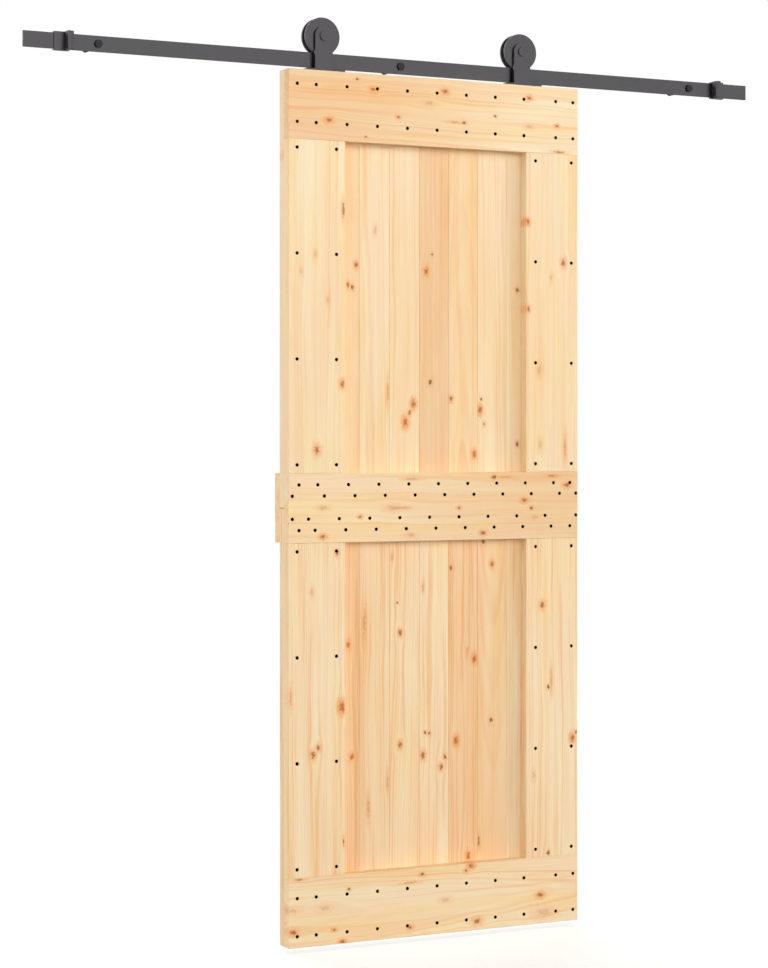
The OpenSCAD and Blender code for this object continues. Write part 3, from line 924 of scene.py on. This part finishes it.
RAILS = (
    level(
        "top_rail", TAN, PALE, SMOOTH, 1.3, Heart(140, 60, 0.02),
        (181, 2085, 4, DEAD), (224, 2062, 6, TIGHT), (106, 1982, 7, TIGHT),
        (292, 2000, 4, TIGHT), (377, 2039, 6, FAINT), (205, 1947, 3, DEAD),
        (421, 2069, 7, TIGHT), (474, 1996, 5, DEAD), (450, 1996, 3, STREAK),
        (562, 2018, 4, DEAD), (659, 2069, 6, TIGHT), (659, 1997, 5, FAINT),
        (740, 2004, 4, TIGHT), (745, 1938, 4, SLIT),
    ),
    level(
        "middle_rail", PLAIN, TAN, SMOOTH, 2.6, Heart(-120, 80, -0.02),
        (330, 1118, 3, STREAK), (90, 1050, 6, FAINT), (278, 1048, 8, FAINT),
        (300, 1048, 3, STREAK), (189, 1027, 4, TIGHT), (90, 981, 6, TIGHT),
        (327, 981, 6, FAINT), (559, 1121, 6, DEAD), (590, 1121, 3, STREAK),
        (769, 1100, 7, TIGHT), (645, 1063, 6, TIGHT), (665, 1043, 5, DEAD),
        (460, 1046, 4, TIGHT), (528, 983, 6, TIGHT), (726, 1123, 3, SLIT),
        (676, 1020, 5, FAINT),
    ),
    level(
        "bottom_rail", PLAIN, PALE, BOLD, 3.9, Heart(14, 52, 0.05),
        (27, 163, 3, SLIT), (159, 130, 4, DEAD), (358, 151, 5, DEAD),
        (325, 132, 3, STREAK), (9, 90, 7, FAINT), (95, 90, 8, FAINT),
        (11, 38, 7, TIGHT), (119, 35, 4, TIGHT), (141, 5, 5, RED),
        (325, 24, 5, TIGHT), (494, 160, 6, RED), (480, 149, 4, TIGHT),
        (421, 82, 6, FAINT), (511, 22, 8, TIGHT), (691, 72, 7, TIGHT),
        (702, 28, 12, FAINT),
    ),
    level(
        "back_batten", WARM, PLAIN, BOLD, 5.2, Heart(30, -60, 0.04),
        (130, 1080, 7, TIGHT), (310, 1010, 6, RED), (455, 1095, 5, DEAD),
        (600, 1025, 8, TIGHT), (715, 1070, 6, FAINT),
    ),
)

STILES = (
    upright(
        "stile_upper_left", PALE, SMOOTH, 6.1, Heart(190, 60, 0.02),
        (69, 1659, 5, FAINT), (32, 1617, 4, FAINT), (144, 1767, 5, SLIT),
        (103, 1550, 5, FAINT), (141, 1348, 7, TIGHT), (74, 1189, 8, TIGHT),
    ),
    upright(
        "stile_upper_right", PALE, SMOOTH, 7.4, Heart(-180, 75, -0.02),
        (656, 1759, 5, RED), (758, 1659, 7, TIGHT), (723, 1621, 5, FAINT),
        (657, 1541, 5, TIGHT), (763, 1193, 4, STREAK), (688, 1389, 7, FAINT),
        (691, 1201, 7, FAINT),
    ),
    upright(
        "stile_lower_left", PALE, FINE, 8.7, Heart(-210, 60, 0.02),
        (127, 941, 5, TIGHT), (61, 849, 5, FAINT), (140, 570, 9, RED),
        (64, 459, 7, TIGHT), (77, 475, 6, TIGHT), (145, 247, 3, SLIT),
        (5, 598, 3, STREAK),
    ),
    upright(
        "stile_lower_right", PALE, FINE, 9.9, Heart(200, 70, -0.01),
        (697, 799, 7, TIGHT), (723, 610, 4, STREAK), (714, 593, 5, DEAD),
        (784, 461, 7, RED), (795, 475, 4, DEAD), (714, 175, 6, DEAD),
        (673, 374, 5, FAINT),
    ),
)

UPPER_PLANKS = (
    upright("upper_plank_1", PLAIN, SMOOTH, 11.0, Heart(8, 70, 0.01), (8, 1895, 6, TIGHT)),
    upright(
        "upper_plank_2", HONEY, SMOOTH, 12.0, Heart(-30, -75, 0.03),
        (82, 1790, 7, TIGHT), (60, 1390, 6, RED),
    ),
    upright(
        "upper_plank_3", HONEY, SMOOTH, 13.0, Heart(160, 60, -0.01),
        (191, 1638, 6, TIGHT), (180, 1584, 6, DEAD), (169, 1589, 5, TIGHT),
    ),
    upright(
        "upper_plank_4", PALE, SMOOTH, 14.0, Heart(-90, 120, 0.02),
        (243, 1724, 5, FAINT), (277, 1330, 4, STREAK),
    ),
    upright(
        "upper_plank_5", PLAIN, SMOOTH, 15.0, Heart(220, 80, 0.01),
        (347, 1302, 7, RED), (325, 1257, 8, RED), (337, 1280, 5, TIGHT),
    ),
    upright(
        "upper_plank_6", TAN, SMOOTH, 16.0, Heart(-170, 60, -0.01),
        (383, 1629, 7, TIGHT), (399, 1671, 3, DEAD), (394, 1356, 6, DEAD),
    ),
    upright(
        "upper_plank_7", WARM, SMOOTH, 17.0, Heart(6, 60, 0.05),
        (452, 1315, 5, TIGHT), (517, 1178, 6, RED),
    ),
    upright(
        "upper_plank_8", PLAIN, SMOOTH, 18.0, Heart(-200, 85, 0.01),
        (534, 1288, 7, RED), (537, 1315, 4, DEAD), (545, 1253, 4, DEAD),
    ),
    upright(
        "upper_plank_9", PLAIN, SMOOTH, 19.0, Heart(150, 70, -0.02),
        (640, 1589, 6, DEAD), (640, 1203, 6, DEAD),
    ),
    upright(
        "upper_plank_10", PLAIN, SMOOTH, 20.0, Heart(22, -85, 0.02),
        (735, 1850, 6, TIGHT), (705, 1495, 7, TIGHT), (748, 1240, 5, DEAD),
    ),
    upright("upper_plank_11", PALE, SMOOTH, 21.0, Heart(-6, 60, 0.02), (782, 1470, 5, TIGHT)),
)

LOWER_PLANKS = (
    upright("lower_plank_1", PLAIN, FINE, 31.0, Heart(-5, 75, 0.02), (14, 330, 5, TIGHT)),
    upright(
        "lower_plank_2", PLAIN, FINE, 32.0, Heart(28, -70, -0.03),
        (75, 820, 7, RED), (95, 520, 5, DEAD), (55, 215, 7, TIGHT),
    ),
    upright(
        "lower_plank_3", TAN, FINE, 33.0, Heart(-180, 60, 0.01),
        (170, 717, 6, TIGHT), (180, 445, 6, TIGHT),
    ),
    upright(
        "lower_plank_4", WARM, FINE, 34.0, Heart(150, 70, 0.01),
        (213, 768, 5, STREAK), (224, 320, 4, STREAK), (276, 379, 3, STREAK),
    ),
    upright(
        "lower_plank_5", PLAIN, FINE, 35.0, Heart(-90, 90, -0.02),
        (303, 815, 3, DEAD), (311, 741, 6, TIGHT), (289, 927, 5, FAINT),
        (311, 467, 6, TIGHT),
    ),
    upright(
        "lower_plank_6", PLAIN, FINE, 36.0, Heart(210, 64, 0.01),
        (373, 850, 5, FAINT), (380, 493, 4, DEAD), (391, 490, 4, DEAD),
        (373, 437, 7, TIGHT), (435, 430, 5, DEAD), (424, 406, 6, TIGHT),
    ),
    upright(
        "lower_plank_7", HONEY, FINE, 37.0, Heart(-190, 70, 0.01),
        (452, 897, 6, DEAD), (518, 669, 7, RED), (497, 692, 5, FAINT),
        (466, 468, 7, RED), (500, 181, 7, TIGHT),
    ),
    upright(
        "lower_plank_8", HONEY, SMOOTH, 38.0, Heart(10, 66, -0.04),
        (543, 960, 6, DEAD), (568, 904, 6, TIGHT), (530, 214, 4, SLIT),
        (565, 515, 6, DEAD),
    ),
    upright("lower_plank_9", PALE, FINE, 39.0, Heart(170, 78, 0.01), (668, 610, 6, TIGHT)),
    upright(
        "lower_plank_10", HONEY, FINE, 40.0, Heart(-26, -80, 0.03),
        (715, 880, 6, DEAD), (740, 395, 7, TIGHT),
    ),
    upright("lower_plank_11", PLAIN, FINE, 41.0, Heart(5, 68, -0.02), (786, 700, 6, TIGHT)),
)

BOARDS = RAILS + STILES + UPPER_PLANKS + LOWER_PLANKS


@dataclass(frozen=True)
class DoorLeaf:
    """The leaf's boards, front frame, planks and back batten."""

    boards: tuple[Board, ...] = BOARDS

    def dress(self) -> None:
        """Gives every board a pine of its own."""
        rail_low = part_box("bottom_rail")[0]
        pine = PineFinish(
            grain_group(GrainLook()), knot_group(KnotShape()), float(rail_low.x), float(rail_low.z)
        )
        for board in self.boards:
            dress(board.node, pine.material(board))


@dataclass(frozen=True)
class CrossScrews:
    """Countersunk screws with a cross recess, which stand for the plain packed screws of one group."""

    node: str
    seed: int
    sides: int = 16
    head_radius: float = 4.4 * MM
    head_rim: float = 0.25 * MM
    head_height: float = 3.0 * MM
    shank_radius: float = 2.0 * MM
    recess_reach: float = 2.1 * MM
    recess_half_width: float = 0.6 * MM
    recess_depth: float = 1.5 * MM
    recess_floor_share: float = 0.6
    recess_hub_share: float = 0.02
    rim_band: float = 0.05 * MM
    apart_in_radii: float = 2.4

    def places(self) -> tuple[np.ndarray, float]:
        """Finds the middle of each packed screw's head and the screws' length.

        Returns:
            Head middles, one row a screw, and the length of the longest screw.
        """
        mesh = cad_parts[self.node].data
        points = np.zeros(len(mesh.vertices) * 3, np.float32)
        mesh.vertices.foreach_get("co", points)
        points = points.reshape(-1, 3).astype(float)
        front, back = points[:, 1].min(), points[:, 1].max()
        rims = points[points[:, 1] < front + self.rim_band]
        apart = self.apart_in_radii * self.head_radius
        found = []
        while len(rims):
            near = np.hypot(rims[:, 0] - rims[0, 0], rims[:, 2] - rims[0, 2]) < apart
            group = rims[near]
            found.append((group.min(0) + group.max(0)) / 2)
            rims = rims[~near]
        return np.array(found), float(back - front)

    def build(self) -> bpy.types.Object:
        """Builds all screws of the group as one mesh.

        A screw is a stack of rings on a polar grid. The recess's outline is that of two crossed bars: its
        radius at an angle is the larger of the two bars' reaches in that direction. Each screw is turned by its
        own angle.

        Returns:
            The new piece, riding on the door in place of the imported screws.
        """
        middles, length = self.places()
        turns = np.random.default_rng(self.seed).uniform(0.0, math.pi / 2, len(middles))
        angle = 2 * math.pi * np.arange(self.sides) / self.sides
        least = 1e-9
        cosine, sine = np.abs(np.cos(angle)) + least, np.abs(np.sin(angle)) + least
        reach, width = self.recess_reach, self.recess_half_width
        cross = np.maximum(np.minimum(reach / cosine, width / sine), np.minimum(width / cosine, reach / sine))
        whole = np.ones_like(angle)
        rings = (
            (self.recess_hub_share * cross, self.recess_depth),
            (self.recess_floor_share * cross, self.recess_depth),
            (cross, 0.0),
            ((self.head_radius - self.head_rim) * whole, 0.0),
            (self.head_radius * whole, self.head_rim),
            (self.shank_radius * whole, self.head_height),
            (self.shank_radius * whole, length),
        )
        radii = np.array([ring[0] for ring in rings])
        depths = np.array([ring[1] for ring in rings])
        turned = angle[None, :] + turns[:, None]
        x = middles[:, None, None, 0] + radii[None] * np.cos(turned)[:, None, :]
        z = middles[:, None, None, 2] + radii[None] * np.sin(turned)[:, None, :]
        y = np.broadcast_to(middles[:, None, None, 1] + depths[None, :, None], x.shape)
        points = np.stack([x, y, z], axis=-1).reshape(-1, 3)
        piece = self._mesh(points, len(middles), len(rings))
        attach(piece, "door")
        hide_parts(self.node)
        LOG.info("%s stands for %s, %d screws", piece.name, self.node, len(middles))
        return piece

    def _mesh(self, points: np.ndarray, count: int, ring_count: int) -> bpy.types.Object:
        """Joins the rings of every screw with quads and closes both ends.

        Args:
            points: All points, screw by screw and ring by ring.
            count: How many screws there are.
            ring_count: How many rings a screw has.

        Returns:
            The object, at the origin.
        """
        sides = self.sides
        here = np.arange(sides)
        after = (here + 1) % sides
        steps = np.arange(ring_count - 1)[:, None] * sides
        corners = [steps + here, steps + sides + here, steps + sides + after, steps + after]
        quads = np.stack(corners, axis=-1).reshape(-1, 4)
        starts = (np.arange(count) * ring_count * sides)[:, None, None]
        walls = (starts + quads[None]).reshape(-1, 4)
        floors = starts[:, 0] + here[None]
        tips = starts[:, 0] + (ring_count - 1) * sides + here[None, ::-1]
        mesh = bpy.data.meshes.new(f"{self.node}_cross")
        mesh.from_pydata(points.tolist(), [], walls.tolist() + floors.tolist() + tips.tolist())
        mesh.update()
        piece = bpy.data.objects.new(f"{self.node}_cross", mesh)
        bpy.context.scene.collection.objects.link(piece)
        return piece


@dataclass(frozen=True)
class Hardware:
    """Track, stops, hangers, axles, bearings and wheels, by finish."""

    grey: tuple[str, ...] = (
        "track", "end_stop_left", "end_stop_right", "hanger_left", "hanger_right", "axle_bolts",
        "wheel_left", "wheel_right",
    )
    dark: tuple[str, ...] = (
        "standoff_left", "standoff_middle", "standoff_right", "track_bolts", "axle_nuts",
    )
    bright: tuple[str, ...] = (
        "axle_spacers", "bearing_inner_rings", "bearing_outer_ring_left", "bearing_outer_ring_right",
        "bearing_balls_left", "bearing_balls_right",
    )
    rubber: tuple[str, ...] = ("stop_buffer_left", "stop_buffer_right")
    black: tuple[str, ...] = ("foot_screws", "stop_set_screws")
    screw_groups: tuple[str, ...] = (
        "top_rail_screws", "middle_rail_screws", "bottom_rail_screws", "stile_screws",
    )
    first_seed: int = 7

    def dress(self) -> None:
        """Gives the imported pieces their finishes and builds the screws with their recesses."""
        skin = coat_group()
        made = {choice: choice.value.material(skin) for choice in Skin}
        for nodes, choice in (
            (self.grey, Skin.GREY_COAT),
            (self.dark, Skin.DARK_STEEL),
            (self.bright, Skin.BEARING_STEEL),
            (self.rubber, Skin.RUBBER),
            (self.black, Skin.BLACK_SCREW),
        ):
            for node in nodes:
                dress(node, made[choice])
        for seed, node in enumerate(self.screw_groups, self.first_seed):
            piece = CrossScrews(node, seed).build()
            piece.data.materials.append(made[Skin.BLACK_SCREW])


class Lit(Enum):
    """What a lamp lights."""

    ALL = "all"
    WOOD = "wood"
    METAL = "metal"


@dataclass(frozen=True)
class SoftLamp:
    """A wide far lamp.

    Its level is the share of full light that it throws on a face turned to it, and its spread is in degrees.
    """

    name: str
    side: tuple[float, float, float]
    level: float
    spread: float
    lit: Lit

    def hang(self, pieces: dict[Lit, bpy.types.Collection]) -> None:
        """Hangs the lamp on its side of the object.

        Args:
            pieces: The pieces that a lamp for the wood or for the metal alone lights.
        """
        lamp = bpy.data.lights.new(self.name, "SUN")
        lamp.energy = math.pi * self.level
        lamp.angle = math.radians(self.spread)
        holder = bpy.data.objects.new(self.name, lamp)
        bpy.context.scene.collection.objects.link(holder)
        holder.rotation_euler = Vector(self.side).to_track_quat("Z", "Y").to_euler()
        if self.lit in pieces:
            holder.light_linking.receiver_collection = pieces[self.lit]


@dataclass(frozen=True)
class Studio:
    """White surround and floor, the camera, and wide lamps in front, at both sides and behind.

    Some lamps light only the wood and some only the metal.
    """

    floor_gap: float = 12 * MM
    floor_reach: float = 30.0
    floor_tone: float = 0.7
    floor_glow: float = 0.82
    world_light: float = 0.03
    lamps: tuple[SoftLamp, ...] = (
        SoftLamp("back", (0.15, 0.9, 0.45), 0.70, 60.0, Lit.ALL),
        SoftLamp("wood_key", (0.8, -0.5, 0.2), 0.57, 40.0, Lit.WOOD),
        SoftLamp("wood_front", (0.0, -1.0, 0.05), 0.84, 66.0, Lit.WOOD),
        SoftLamp("wood_side", (-1.0, 0.1, 0.2), 0.78, 60.0, Lit.WOOD),
        SoftLamp("metal_key", (0.22, -1.0, 0.1), 0.84, 26.0, Lit.METAL),
        SoftLamp("metal_side", (-0.75, 0.65, 0.15), 1.3, 40.0, Lit.METAL),
    )
    eye: tuple[float, float, float] = (-2.7035, -5.434, -0.912)
    eye_turn: float = math.radians(-26.46)
    lens: float = 90.97
    sensor: float = 36.0
    drop: float = -0.0462
    far: float = 200.0

    def build(self) -> None:
        """Sets the view, the world, the floor, the lamps and the camera."""
        bpy.context.scene.view_settings.view_transform = "Standard"
        self._world()
        self._floor()
        pieces = self._pieces()
        for lamp in self.lamps:
            lamp.hang(pieces)
        self._camera()

    def _pieces(self) -> dict[Lit, bpy.types.Collection]:
        """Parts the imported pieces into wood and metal, with the rubber among the metal.

        The cross screws are made later and are in neither.

        Returns:
            The two collections.
        """
        boards = {board.node for board in BOARDS}
        pieces = {lit: bpy.data.collections.new(lit.value) for lit in (Lit.WOOD, Lit.METAL)}
        for name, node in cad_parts.items():
            pieces[Lit.WOOD if name in boards else Lit.METAL].objects.link(node)
        return pieces

    def _seen_share(self, graph: Graph) -> Socket:
        """Tells the rays that see the white surround.

        Args:
            graph: The tree of the world or the floor.

        Returns:
            A socket with 1 for rays from the camera and for mirrored or refracted ones, else 0.
        """
        path = graph.node("ShaderNodeLightPath").outputs
        mirrored = graph.math("MAXIMUM", path["Is Glossy Ray"], path["Is Transmission Ray"])
        return graph.math("MAXIMUM", path["Is Camera Ray"], mirrored)

    def _world(self) -> None:
        """Makes a surround that shows white and throws little light on the object."""
        world = bpy.data.worlds.new("white_surround")
        bpy.context.scene.world = world
        world.use_nodes = True
        world.node_tree.nodes.clear()
        graph = Graph(world.node_tree)
        seen = self._seen_share(graph)
        strength = graph.math("MULTIPLY_ADD", seen, 1.0 - self.world_light, self.world_light)
        background = graph.node("ShaderNodeBackground")
        background.inputs["Color"].default_value = WHITE
        graph.feed(background.inputs["Strength"], strength)
        graph.feed(graph.node("ShaderNodeOutputWorld").inputs["Surface"], background.outputs[0])

    def _floor(self) -> None:
        """Lays a pale floor below the door, which looks white and keeps a faint shadow."""
        height = float(CAD_BOX[0].z) - self.floor_gap
        corner = np.array([[-1, -1], [1, -1], [1, 1], [-1, 1]]) * self.floor_reach
        points = np.column_stack([corner, np.full(len(corner), height)])
        mesh = bpy.data.meshes.new("floor")
        mesh.from_pydata(points.tolist(), [], [(0, 1, 2, 3)])
        floor = bpy.data.objects.new("floor", mesh)
        bpy.context.scene.collection.objects.link(floor)
        material = bpy.data.materials.new("pale_floor")
        material.use_nodes = True
        graph = Graph(material.node_tree)
        shader = material.node_tree.nodes["Principled BSDF"]
        shader.inputs["Base Color"].default_value = (self.floor_tone, self.floor_tone, self.floor_tone, 1.0)
        shader.inputs["Roughness"].default_value = 1.0
        shader.inputs["Specular IOR Level"].default_value = 0.0
        shader.inputs["Emission Color"].default_value = WHITE
        glow = graph.math("MULTIPLY", self._seen_share(graph), self.floor_glow)
        graph.feed(shader.inputs["Emission Strength"], glow)
        mesh.materials.append(material)

    def _camera(self) -> None:
        """Sets a level camera where the picture was taken from."""
        camera = bpy.data.cameras.new("camera")
        camera.lens = self.lens
        camera.sensor_width = self.sensor
        camera.shift_y = self.drop
        camera.clip_end = self.far
        holder = bpy.data.objects.new("camera", camera)
        bpy.context.scene.collection.objects.link(holder)
        holder.location = self.eye
        holder.rotation_euler = (math.pi / 2, 0.0, self.eye_turn)
        bpy.context.scene.camera = holder


def main() -> None:
    """Builds the studio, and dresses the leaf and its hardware."""
    logging.basicConfig(level=logging.INFO, format="%(message)s")
    Studio().build()
    DoorLeaf().dress()
    Hardware().dress()


if __name__ == "__main__":
    main()
